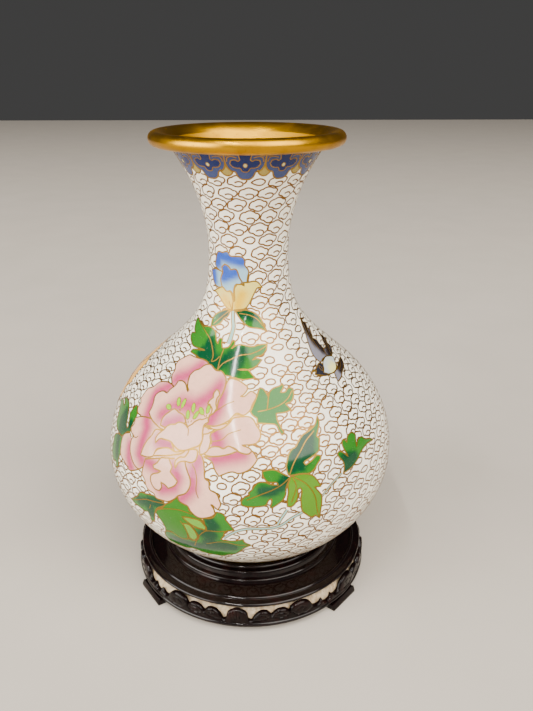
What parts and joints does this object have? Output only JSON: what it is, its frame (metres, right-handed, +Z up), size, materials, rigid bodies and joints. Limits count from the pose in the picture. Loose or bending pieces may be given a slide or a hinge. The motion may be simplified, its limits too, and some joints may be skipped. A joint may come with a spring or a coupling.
{
  "type": "cloisonne vase on stand",
  "caption": "Bulb-bodied enamelled copper vase with a flared gilt lip, standing in the seat of a carved dark wood stand it lifts off.",
  "frame": {"origin": "centre of the stand on the surface its feet rest on", "axes": "+Z up along the vase's axis, -Y to the front with the large flower, +X to the right"},
  "size_m": [0.136, 0.136, 0.2155],
  "materials": {
    "copper": "plain spun copper",
    "gilt": "polished gilding",
    "turquoise_enamel": "glossy opaque enamel",
    "white_enamel": "glossy opaque enamel",
    "blue_enamel": "glossy opaque enamel",
    "yellow_enamel": "glossy opaque enamel",
    "pink_enamel": "glossy opaque enamel",
    "rose_enamel": "glossy opaque enamel",
    "green_enamel": "glossy opaque enamel",
    "stem_enamel": "glossy opaque enamel",
    "slate_enamel": "glossy opaque enamel",
    "lacquered_wood": "dark glossy lacquer",
    "pale_wood": "unlacquered wood"
  },
  "bodies": {
    "stand": {"stand_panel": "lacquered_wood", "stand_top": "lacquered_wood", "stand_seat_ring": "lacquered_wood", "stand_waist": "pale_wood", "stand_base_ring": "lacquered_wood", "apron_front": "lacquered_wood", "apron_right": "lacquered_wood", "apron_back": "lacquered_wood", "apron_left": "lacquered_wood", "foot_front_right": "lacquered_wood", "foot_back_right": "lacquered_wood", "foot_back_left": "lacquered_wood", "foot_front_left": "lacquered_wood"},
    "vase": {"copper_belly": "copper", "copper_neck": "gilt", "lip_ring": "gilt", "foot_ring": "gilt", "base_disc": "copper", "inner_enamel": "turquoise_enamel", "base_enamel": "turquoise_enamel", "ground_belly": "white_enamel", "ground_neck": "white_enamel", "collar_lappets": "blue_enamel", "collar_discs": "yellow_enamel", "peony": "pink_enamel", "peony_heart": "rose_enamel", "yellow_flower": "yellow_enamel", "bud": "blue_enamel", "bud_calyx": "yellow_enamel", "bud_leaves": "green_enamel", "upper_leaf": "green_enamel", "left_leaf": "green_enamel", "lower_leaf": "green_enamel", "right_leaf": "green_enamel", "small_leaf": "green_enamel", "pale_leaf": "green_enamel", "stems": "stem_enamel", "bird": "slate_enamel"}
  },
  "joints": [
    {"name": "vase_lift", "type": "slide", "parent": "stand", "child": "vase", "axis": [0, 0, 1], "range_m": [0, 0.03]}
  ]
}
